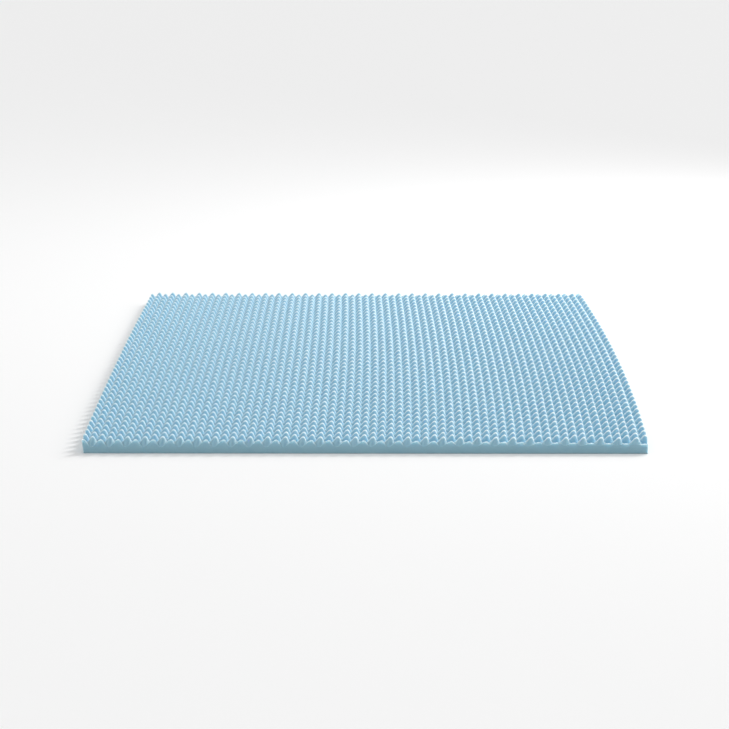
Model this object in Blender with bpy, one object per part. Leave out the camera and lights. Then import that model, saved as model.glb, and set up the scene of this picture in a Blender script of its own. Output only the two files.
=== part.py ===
"""Egg-crate foam mattress topper, queen size, one slab lying flat.

Metres, +Z up. The origin is under the middle of the slab's bounding box, +Y runs towards
the head end, and the flat underside rests on z = 0. The upper side is a chequerboard of
bumps and dimples. A bump and the next dimple are one step apart, both ways. Columns count
the steps across, from the left side, and rows count them along, from the foot end.
"""

import math

import bpy
import numpy as np

# Driving dimensions
LENGTH = 2.032             # foot end to head end, 80 in
BUMP_HEIGHT = 0.044        # underside to the top of a bump
DIMPLE_HEIGHT = 0.0155     # underside to the bottom of a dimple
ROW_STEP = 0.025           # one step along the slab
STEPS_ACROSS = 64.44       # steps between the sides, which are cut part way

# Each side's distance from the middle line at the foot end, half way and at the head end
LEFT_REACH = (0.770, 0.774, 0.763)
RIGHT_REACH = (0.756, 0.774, 0.743)
LEFT_LEAN = 0.004          # how far the left side leans out over its own foot

# Where the cuts fall in the pattern, in steps
LEFT_CUT = -0.2            # column of the left side
FOOT_CUT = 0.22            # row of the foot end at the left side
FOOT_SKEW = 0.25           # rows gained by the foot end on its way to the right side

# The bumps lean a little: their peaks stand further right than their feet, and more so
# towards the right side
LEAN = (0.004, 0.009)      # at the left side and at the right side
LEAN_FADE = 1.5            # steps from a side over which the lean dies away

FOAM_COLOR = (0.36, 0.60, 0.78, 1.0)
FOAM_ROUGHNESS = 0.95


def remove_startup_objects():
    for obj in list(bpy.data.objects):
        bpy.data.objects.remove(obj, do_unlink=True)


def foam_material():
    material = bpy.data.materials.new("blue_foam")
    material.use_nodes = True
    shader = material.node_tree.nodes["Principled BSDF"]
    shader.inputs["Base Color"].default_value = FOAM_COLOR
    shader.inputs["Roughness"].default_value = FOAM_ROUGHNESS
    shader.inputs["Metallic"].default_value = 0.0
    return material


def side(reaches, y):
    """Distance of a side from the middle line: a parabola through its three sizes."""
    foot, middle, head = reaches
    t = y / (LENGTH / 2)
    return middle + (head - foot) / 2 * t + ((head + foot) / 2 - middle) * t ** 2


def foot_row(column):
    """Row of the foot end's cut: along the pattern at first, then more and more askew."""
    return FOOT_CUT + FOOT_SKEW * ((column - LEFT_CUT) / STEPS_ACROSS) ** 2


def swell(column, row):
    """0 in a dimple and 1 on a bump, which is where column and row add up to an even number:
    half of one plus the product of two cosines."""
    return (1 + np.cos(math.pi * column) * np.cos(math.pi * row)) / 2


def plan(column, row):
    """Place seen from above: rows bow a little, as the foot end's cut through them asks, and
    columns spread evenly between the sides, but what lies low is moved to the left, less and
    less towards the cut sides."""
    y = ROW_STEP * (row - foot_row(column)) - LENGTH / 2
    left, right = -side(LEFT_REACH, y), side(RIGHT_REACH, y)
    steps_in = np.minimum(column - LEFT_CUT, LEFT_CUT + STEPS_ACROSS - column)
    across = (column - LEFT_CUT) / STEPS_ACROSS
    lean = (LEAN[0] + (LEAN[1] - LEAN[0]) * across) * np.clip(steps_in / LEAN_FADE, 0, 1)
    return left + (right - left) * across - lean * (1 - swell(column, row)), y


def height(column, row):
    return DIMPLE_HEIGHT + (BUMP_HEIGHT - DIMPLE_HEIGHT) * swell(column, row)


def lattice():
    """Mesh lines of the upper side: the cuts, and every whole column and row between them."""
    right_cut = LEFT_CUT + STEPS_ACROSS
    whole_columns = np.arange(math.ceil(LEFT_CUT), math.floor(right_cut) + 1)
    line = np.concatenate([[LEFT_CUT], whole_columns, [right_cut]])
    foot_cut = foot_row(line)
    head_cut = foot_cut + LENGTH / ROW_STEP
    whole_rows = np.arange(math.ceil(foot_cut.max()), math.floor(head_cut.min()) + 1)
    between = np.repeat(whole_rows[:, None], line.size, axis=1)
    rows = np.vstack([foot_cut, between, head_cut])
    return np.broadcast_to(line, rows.shape), rows


def top_faces(number, z):
    """Two triangles a cell, parted between its lower corners so that each bump stands alone."""
    near_left, near_right = number[:-1, :-1], number[:-1, 1:]
    far_left, far_right = number[1:, :-1], number[1:, 1:]
    low_near_left = z[:-1, :-1] + z[1:, 1:] < z[:-1, 1:] + z[1:, :-1]
    first = np.where(low_near_left, near_left, near_right)
    second = np.where(low_near_left, near_right, far_right)
    third = np.where(low_near_left, far_right, far_left)
    fourth = np.where(low_near_left, far_left, near_left)
    return np.stack([first, second, third, first, third, fourth], axis=-1).reshape(-1, 3)


def rim(number):
    """Vertex numbers round the upper edge, anticlockwise seen from above."""
    foot_end, right_side = number[0, :-1], number[:-1, -1]
    head_end, left_side = number[-1, :0:-1], number[:0:-1, 0]
    return np.concatenate([foot_end, right_side, head_end, left_side])


def topper_mesh():
    """Upper side, four walls straight down from its rim, and one flat face beneath."""
    columns, rows = lattice()
    x, y = plan(columns, rows)
    z = height(columns, rows)
    number = np.arange(z.size).reshape(z.shape)
    upper = np.stack([x, y, z], axis=-1).reshape(-1, 3)
    top_rim = rim(number)
    lower = upper[top_rim] * (1.0, 1.0, 0.0)
    lower[columns.ravel()[top_rim] == LEFT_CUT, 0] += LEFT_LEAN
    bottom_rim = z.size + np.arange(top_rim.size)
    corners = [bottom_rim, np.roll(bottom_rim, -1), np.roll(top_rim, -1), top_rim]
    walls = np.stack(corners, axis=-1)
    underside = bottom_rim[::-1]
    faces = top_faces(number, z).tolist() + walls.tolist() + [underside.tolist()]
    mesh = bpy.data.meshes.new("foam_topper")
    mesh.from_pydata(np.vstack([upper, lower]).tolist(), [], faces)
    mesh.update()
    return mesh


def make_topper():
    topper = bpy.data.objects.new("foam_topper", topper_mesh())
    topper.data.materials.append(foam_material())
    bpy.context.scene.collection.objects.link(topper)


remove_startup_objects()
make_topper()
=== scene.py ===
"""The finished look of the egg-crate foam mattress topper, lying flat on a pale floor."""

import math

import bpy
import numpy as np
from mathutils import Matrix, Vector


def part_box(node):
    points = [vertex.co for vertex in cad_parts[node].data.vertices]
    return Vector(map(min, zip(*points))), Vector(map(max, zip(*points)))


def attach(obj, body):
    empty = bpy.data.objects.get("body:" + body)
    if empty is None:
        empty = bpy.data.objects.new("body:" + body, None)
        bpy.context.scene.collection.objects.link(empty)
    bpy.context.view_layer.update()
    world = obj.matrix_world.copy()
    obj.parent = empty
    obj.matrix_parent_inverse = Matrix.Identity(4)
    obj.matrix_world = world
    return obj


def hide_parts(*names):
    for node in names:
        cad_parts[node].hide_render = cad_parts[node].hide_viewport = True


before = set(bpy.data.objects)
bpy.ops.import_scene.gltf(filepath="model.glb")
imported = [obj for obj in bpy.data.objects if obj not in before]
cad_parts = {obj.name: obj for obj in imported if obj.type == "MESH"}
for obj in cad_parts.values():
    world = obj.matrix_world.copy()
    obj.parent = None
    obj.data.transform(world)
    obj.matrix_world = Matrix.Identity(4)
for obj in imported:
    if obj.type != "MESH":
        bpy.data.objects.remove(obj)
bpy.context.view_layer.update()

# The slab, in metres, as the frame gives it
LOW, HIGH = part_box("foam_topper")
LENGTH = HIGH.y - LOW.y
BUMP_HEIGHT = HIGH.z
DIMPLE_HEIGHT = 0.0155
ROW_STEP = 0.025
STEPS_ACROSS = 64.44
LEFT_REACH = (0.770, 0.774, 0.763)   # from the middle line: foot end, half way, head end
RIGHT_REACH = (0.756, 0.774, 0.743)
LEFT_LEAN = 0.004                    # how far the left side leans out over its own foot
LEFT_CUT = -0.2                      # column of the left side
FOOT_CUT = 0.22                      # row of the foot end at the left side
FOOT_SKEW = 0.25                     # rows gained by the foot end on its way to the right side

# The finer form of the bumps
NARROWING_ACROSS = 1.1               # above 1 a bump is slimmer than a plain raised cosine
NARROWING_ALONG = 1.35
LEAN = (0.004, 0.009)                # how far a peak leans right of its foot, left and right side
LEAN_FADE = 1.5                      # steps from a side over which the lean dies away
UNEVEN_PLAN = 0.0007                 # how far a bump may stand from its place in the pattern
UNEVEN_HEIGHT = 0.0010               # how much lower than the highest a bump may be
SPARE_PLACES = 4                     # places for which a value is drawn beyond the pattern

# Mesh
LINES_PER_STEP = (0.0, 0.2, 0.5, 0.8)
CLEAR_OF_CUT = 0.04                  # steps that a mesh line keeps from a cut
WALL_LEVELS = 4
SHARP_ANGLE = math.radians(80)


class Field:
    """A shader socket that takes arithmetic: each operator adds one Math node."""

    tree = None

    def __init__(self, socket):
        self.socket = socket

    @classmethod
    def node(cls, kind, settings=(), inputs=(), output=0):
        """Adds a node, sets its settings, feeds its inputs and gives one of its outputs."""
        made = cls.tree.nodes.new(kind)
        for name, value in dict(settings).items():
            setattr(made, name, value)
        for key, value in dict(inputs).items():
            if isinstance(value, Field):
                cls.tree.links.new(value.socket, made.inputs[key])
            else:
                made.inputs[key].default_value = value
        return cls(made.outputs[output])

    @classmethod
    def math(cls, operation, *values):
        return cls.node("ShaderNodeMath", {"operation": operation}, enumerate(values))

    def __add__(self, other):
        return self.math("ADD", self, other)

    def __sub__(self, other):
        return self.math("SUBTRACT", self, other)

    def __mul__(self, other):
        return self.math("MULTIPLY", self, other)

    def __radd__(self, other):
        return self.math("ADD", other, self)

    def __rsub__(self, other):
        return self.math("SUBTRACT", other, self)

    def __rmul__(self, other):
        return self.math("MULTIPLY", other, self)

    def part(self, axis):
        """One of the three parts of a vector: X, Y or Z."""
        return self.node("ShaderNodeSeparateXYZ", inputs={0: self}, output=axis)

    def ramp(self, low, high):
        """Smooth step from 0 at low to 1 at high."""
        settings = {"interpolation_type": "SMOOTHSTEP"}
        inputs = {"Value": self, "From Min": low, "From Max": high}
        return self.node("ShaderNodeMapRange", settings, inputs)

    def blend(self, first, second):
        """Colour mix: first where self is 0, second where it is 1."""
        inputs = {0: self, 6: first, 7: second}
        return self.node("ShaderNodeMix", {"data_type": "RGBA"}, inputs, 2)


# --- Form -------------------------------------------------------------------------------

def side(reaches, y):
    """Distance of a side from the middle line: a parabola through its three sizes."""
    foot, middle, head = reaches
    t = y / (LENGTH / 2)
    return middle + (head - foot) / 2 * t + ((head + foot) / 2 - middle) * t ** 2


def foot_row(column):
    """Row of the foot end's cut: along the pattern at first, then more and more askew."""
    return FOOT_CUT + FOOT_SKEW * ((column - LEFT_CUT) / STEPS_ACROSS) ** 2


def steps_from_side(column):
    """Steps from the nearer of the two sides."""
    return np.minimum(column - LEFT_CUT, LEFT_CUT + STEPS_ACROSS - column)


def swell(column, row):
    """How far each place rises from dimple (0) to peak (1): two sets of bumps, one on the
    even lines and one on the odd, each a raised cosine across times a raised cosine along."""
    across, along = np.cos(math.pi * column), np.cos(math.pi * row)

    def bumps(sign):
        slim = ((1 + sign * across) / 2) ** NARROWING_ACROSS
        return slim * ((1 + sign * along) / 2) ** NARROWING_ALONG

    return bumps(1) + bumps(-1)


def plan(column, row):
    """Place seen from above: rows bow a little, as the foot end's cut through them asks, and
    columns spread evenly between the sides, but what lies low is moved to the left, less and
    less towards the cut sides."""
    y = ROW_STEP * (row - foot_row(column)) - LENGTH / 2
    left, right = -side(LEFT_REACH, y), side(RIGHT_REACH, y)
    across = (column - LEFT_CUT) / STEPS_ACROSS
    fade = np.clip(steps_from_side(column) / LEAN_FADE, 0, 1)
    lean = (LEAN[0] + (LEAN[1] - LEAN[0]) * across) * fade
    return left + (right - left) * across - lean * (1 - swell(column, row)), y


def height(column, row):
    return DIMPLE_HEIGHT + (BUMP_HEIGHT - DIMPLE_HEIGHT) * swell(column, row)


def unevenness(column, row, seed):
    """Irregularity between -1 and 1: a seeded random value for each whole place of the
    pattern, with a straight blend between neighbours, dying away at the four cuts."""
    last_row = FOOT_CUT + LENGTH / ROW_STEP
    from_end = np.minimum(row - FOOT_CUT - FOOT_SKEW, last_row - row)
    places = (math.ceil(last_row) + SPARE_PLACES, math.ceil(STEPS_ACROSS) + SPARE_PLACES)
    values = np.random.default_rng(seed).uniform(-1, 1, places)
    left, near = np.floor(column).astype(int), np.floor(row).astype(int)
    right_share, far_share = column - left, row - near
    left, near = left + 1, near + 1
    near_value = values[near, left] * (1 - right_share) + values[near, left + 1] * right_share
    far_value = values[near + 1, left] * (1 - right_share) + values[near + 1, left + 1] * right_share
    value = near_value * (1 - far_share) + far_value * far_share
    return value * np.clip(np.minimum(steps_from_side(column), from_end), 0, 1)


def lines_between(first, last):
    """The lattice lines of each step that lie clearly inside first and last."""
    whole = np.arange(math.floor(first), math.ceil(last) + 1)
    lines = (whole[:, None] + np.array(LINES_PER_STEP)).ravel()
    return lines[(lines > first + CLEAR_OF_CUT) & (lines < last - CLEAR_OF_CUT)]


def lattice():
    """Grid lines of the upper side: the cuts and the lattice lines between them."""
    right_cut = LEFT_CUT + STEPS_ACROSS
    line = np.concatenate([[LEFT_CUT], lines_between(LEFT_CUT, right_cut), [right_cut]])
    foot_cut = foot_row(line)
    head_cut = foot_cut + LENGTH / ROW_STEP
    between = np.repeat(lines_between(foot_cut.max(), head_cut.min())[:, None], line.size, axis=1)
    rows = np.vstack([foot_cut, between, head_cut])
    return np.broadcast_to(line, rows.shape), rows


def rim(number):
    """Vertex numbers round the upper edge, anticlockwise seen from above."""
    foot_end, right_side = number[0, :-1], number[:-1, -1]
    head_end, left_side = number[-1, :0:-1], number[:0:-1, 0]
    return np.concatenate([foot_end, right_side, head_end, left_side])


def quads(number):
    """Faces of a grid of vertex numbers, anticlockwise seen from the side that shows."""
    corners = [number[:-1, :-1], number[:-1, 1:], number[1:, 1:], number[1:, :-1]]
    return np.stack(corners, axis=-1).reshape(-1, 4)


def wall_rings(top, leaning):
    """Rings of the walls below the rim, the last one on the floor: the rim's own places at
    even shares of its height, moved out by what its side leans."""
    rings = []
    for level in range(WALL_LEVELS - 1, -1, -1):
        share = level / WALL_LEVELS
        ring = top * (1.0, 1.0, share)
        ring[:, 0] += leaning * (1 - share)
        rings.append(ring)
    return rings


def sharpen(mesh, edge):
    """Smooth shading, but for folds over the sharp angle and the whole rim."""
    mesh.shade_smooth()
    mesh.set_sharp_from_angle(angle=SHARP_ANGLE)
    on_rim = np.zeros(len(mesh.vertices), dtype=bool)
    on_rim[edge] = True
    ends = np.empty(2 * len(mesh.edges), dtype=np.int32)
    mesh.edges.foreach_get("vertices", ends)
    sharp = np.empty(len(mesh.edges), dtype=bool)
    mesh.attributes["sharp_edge"].data.foreach_get("value", sharp)
    sharp |= on_rim[ends.reshape(-1, 2)].all(axis=1)
    mesh.attributes["sharp_edge"].data.foreach_set("value", sharp)


def lay_lattice(mesh, columns, rows, edge):
    """UV map that holds column and row, which the walls take from the rim above them."""
    upper = np.stack([columns.ravel(), rows.ravel()], axis=-1)
    place = np.vstack([upper] + [upper[edge]] * WALL_LEVELS).astype(np.float32)
    corner = np.empty(len(mesh.loops), dtype=np.int32)
    mesh.loops.foreach_get("vertex_index", corner)
    mesh.uv_layers.new(name="lattice").uv.foreach_set("vector", place[corner].ravel())


def foam_slab():
    """Upper side as a grid, cut walls below its rim in levels, and one flat face beneath."""
    columns, rows = lattice()
    x, y = plan(columns, rows)
    x = x + UNEVEN_PLAN * unevenness(columns, rows, 1)
    y = y + UNEVEN_PLAN * unevenness(columns, rows, 2)
    drop = UNEVEN_HEIGHT * np.abs(unevenness(columns, rows, 3))
    z = height(columns, rows) - drop * swell(columns, rows)
    upper = np.stack([x, y, z], axis=-1).reshape(-1, 3)

    number = np.arange(z.size).reshape(z.shape)
    edge = rim(number)
    leaning = (columns.ravel()[edge] == LEFT_CUT) * LEFT_LEAN
    rings = wall_rings(upper[edge], leaning)
    below = z.size + np.arange(WALL_LEVELS * edge.size).reshape(WALL_LEVELS, -1)
    upwards = np.vstack([below[::-1], edge])
    walls = quads(np.hstack([upwards, upwards[:, :1]]))
    underside = below[-1, ::-1]

    faces = quads(number).tolist() + walls.tolist() + [underside.tolist()]
    mesh = bpy.data.meshes.new("foam_slab")
    mesh.from_pydata(np.vstack([upper] + rings).tolist(), [], faces)
    sharpen(mesh, edge)
    lay_lattice(mesh, columns, rows, edge)
    slab = bpy.data.objects.new("foam_slab", mesh)
    bpy.context.scene.collection.objects.link(slab)
    return slab


# --- Finish -----------------------------------------------------------------------------

FOAM = (0.32, 0.57, 0.72, 1)         # the flanks of the bumps
SHADED_DIMPLE_FOAM = (0.20, 0.49, 0.69, 1)    # painted shade: the dimples darker and deeper blue
LEFT_LIGHT_DIMPLE_FOAM = (0.28, 0.50, 0.64, 1)    # painted light: the dimples greyer at the left side
CREST_HIGHLIGHT_FOAM = (0.78, 0.91, 0.97, 1)    # painted highlight along the crests
FOOT_BUMP_LIGHT_FOAM = (0.33, 0.55, 0.66, 1)     # painted light: the first bumps of the foot end greyer, as lit by neutral light from the front
SHADED_CUT_FOAM = (0.31, 0.51, 0.60, 1)     # painted shade: the cut sides darker and greyer
LEFT_HIGHLIGHT_SHARE = 0.65                    # how strong the painted crest highlight is at the left side, as a share

# Where one tone gives way to the next
DIMPLE_TO_BUMP = (0.014, 0.036)      # heights in metres
LEFT_LIGHT_TO_FULL = (-0.8, 0.1)          # places across, in metres, over which the painted light of the left side gives way
FLANK_TO_CREST = (0.75, 1.0)         # 1 on the crest line
FOOT_TO_BODY = (0.7, 1.3)            # rows
WALL_TO_TOP = (0.08, 0.16)           # upward parts of the surface normal

SCATTER = 0.012                      # how deep light goes into the foam, in metres
CELLS_PER_METRE = 700.0
CELL_DETAIL = 2.0
CELL_DEPTH = 0.0004
CELL_STRENGTH = 0.4
ROUGHNESS = 0.95
SHEEN = 0.5
SHEEN_ROUGHNESS = 0.3


def foam_color(place):
    """Painted highlight along the thin crests, painted shade low down in the dimples and on the cut
    sides, and painted light: greyer dimples and a weaker highlight towards the left side, and
    greyer first bumps of the foot end."""
    lift = place.part("Z").ramp(*DIMPLE_TO_BUMP)
    # painted light: 0 at the left side, where the dimples are painted greyer and the crest highlight
    # weaker
    clear_of_left_light = place.part("X").ramp(*LEFT_LIGHT_TO_FULL)
    lattice_place = Field.node("ShaderNodeUVMap", {"uv_map": "lattice"})
    column, row = lattice_place.part("X"), lattice_place.part("Y")
    across = Field.math("COSINE", math.pi * column)
    along = Field.math("COSINE", math.pi * row)
    # 1 along the crest line of each bump, from one side of it to the other
    crest = (Field.math("SIGN", across) * along).ramp(*FLANK_TO_CREST)
    at_foot = 1.0 - row.ramp(*FOOT_TO_BODY)
    flat_normal = Field.node("ShaderNodeNewGeometry", output="True Normal")
    cut = 1.0 - flat_normal.part("Z").ramp(*WALL_TO_TOP)

    # painted shade: the dimples darker and deeper blue, painted greyer towards the left side
    dimple_shade = clear_of_left_light.blend(LEFT_LIGHT_DIMPLE_FOAM, SHADED_DIMPLE_FOAM)
    # painted light greys the first bumps of the foot end; painted shade darkens what lies low
    body = at_foot.blend(lift.blend(dimple_shade, FOAM), FOOT_BUMP_LIGHT_FOAM)
    # painted highlight along the crest lines, high up only, weaker towards the left side
    crest_highlight = crest * lift * (LEFT_HIGHLIGHT_SHARE + (1 - LEFT_HIGHLIGHT_SHARE) * clear_of_left_light)
    # painted shade: the cut sides darker and greyer
    return cut.blend(crest_highlight.blend(body, CREST_HIGHLIGHT_FOAM), SHADED_CUT_FOAM)


def foam_finish():
    """Matt blue foam that lets light in, with small open cells all over."""
    material = bpy.data.materials.new("blue_foam")
    material.use_nodes = True
    Field.tree = material.node_tree
    shader = material.node_tree.nodes["Principled BSDF"]

    place = Field.node("ShaderNodeTexCoord", output="Object")
    Field.tree.links.new(foam_color(place).socket, shader.inputs["Base Color"])

    noise = {"Vector": place, "Scale": CELLS_PER_METRE, "Detail": CELL_DETAIL}
    cells = Field.node("ShaderNodeTexNoise", inputs=noise)
    relief = {"Strength": CELL_STRENGTH, "Distance": CELL_DEPTH, "Height": cells}
    bump = Field.node("ShaderNodeBump", inputs=relief)
    Field.tree.links.new(bump.socket, shader.inputs["Normal"])

    shader.inputs["Roughness"].default_value = ROUGHNESS
    shader.inputs["Subsurface Weight"].default_value = 1.0
    shader.inputs["Subsurface Radius"].default_value = (1.0, 1.0, 1.0)
    shader.inputs["Subsurface Scale"].default_value = SCATTER
    shader.inputs["Sheen Weight"].default_value = SHEEN
    shader.inputs["Sheen Roughness"].default_value = SHEEN_ROUGHNESS
    return material


# --- Stage ------------------------------------------------------------------------------

FLOOR_REACH = 30.0
FLOOR_COLOR = (0.95, 0.95, 0.95, 1)
FLOOR_ROUGHNESS = 0.9

# Suns: azimuth from +Y towards +X and elevation in degrees, strength, and softness in radians
KEY_SUN = (50, 33, 1.3, 0.3)
TOP_SUN = (0, 85, 0.4, 0.6)
FILL_SUN = (-150, 35, 0.28, 0.6)
SKY_STRENGTH = 0.5
WINDOW_PLACE = (2.57, 2.16, 2.18)
WINDOW_SIZE = 2.0
WINDOW_WATTS = 60

CAMERA_PLACE = (0.0167, -7.2661, 1.6802)
CAMERA_PITCH = 0.2255
CAMERA_YAW = -0.0039
FOCAL_PIXELS = 2397.5
PICTURE_PIXELS = 729
SENSOR = 36.0


def floor_finish():
    material = bpy.data.materials.new("pale_floor")
    material.use_nodes = True
    shader = material.node_tree.nodes["Principled BSDF"]
    shader.inputs["Base Color"].default_value = FLOOR_COLOR
    shader.inputs["Roughness"].default_value = FLOOR_ROUGHNESS
    return material


def pale_floor():
    signs = [(-1, -1), (1, -1), (1, 1), (-1, 1)]
    corners = [(FLOOR_REACH * across, FLOOR_REACH * along, 0) for across, along in signs]
    mesh = bpy.data.meshes.new("floor")
    mesh.from_pydata(corners, [], [(0, 1, 2, 3)])
    floor = bpy.data.objects.new("floor", mesh)
    floor.data.materials.append(floor_finish())
    bpy.context.scene.collection.objects.link(floor)


def sunlight(azimuth, elevation, strength, softness):
    light = bpy.data.lights.new("sun", "SUN")
    light.energy, light.angle = strength, softness
    lamp = bpy.data.objects.new("sun", light)
    lamp.rotation_euler = (math.radians(elevation - 90), 0, math.radians(-azimuth))
    bpy.context.scene.collection.objects.link(lamp)


def window():
    """A square area light turned to the middle of the slab."""
    light = bpy.data.lights.new("window", "AREA")
    light.size, light.energy = WINDOW_SIZE, WINDOW_WATTS
    lamp = bpy.data.objects.new("window", light)
    lamp.location = WINDOW_PLACE
    lamp.rotation_euler = (-Vector(WINDOW_PLACE)).to_track_quat("-Z", "Y").to_euler()
    bpy.context.scene.collection.objects.link(lamp)


def studio():
    """Key light low from the far right, part of it from nearby, and weak fills from above and
    from the near left, under an even pale sky."""
    world = bpy.data.worlds.new("studio")
    bpy.context.scene.world = world
    world.use_nodes = True
    background = world.node_tree.nodes["Background"]
    background.inputs["Color"].default_value = (1, 1, 1, 1)
    background.inputs["Strength"].default_value = SKY_STRENGTH
    sunlight(*KEY_SUN)
    window()
    sunlight(*TOP_SUN)
    sunlight(*FILL_SUN)


def photo_camera():
    camera = bpy.data.cameras.new("camera")
    camera.sensor_width = SENSOR
    camera.lens = FOCAL_PIXELS * SENSOR / PICTURE_PIXELS
    shot = bpy.data.objects.new("camera", camera)
    shot.location = CAMERA_PLACE
    shot.rotation_euler = (math.pi / 2 - CAMERA_PITCH, 0, -CAMERA_YAW)
    bpy.context.scene.collection.objects.link(shot)
    bpy.context.scene.camera = shot


bpy.context.scene.view_settings.view_transform = "Standard"
photo_camera()
slab = foam_slab()
slab.data.materials.append(foam_finish())
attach(slab, "root")
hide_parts("foam_topper")
pale_floor()
studio()
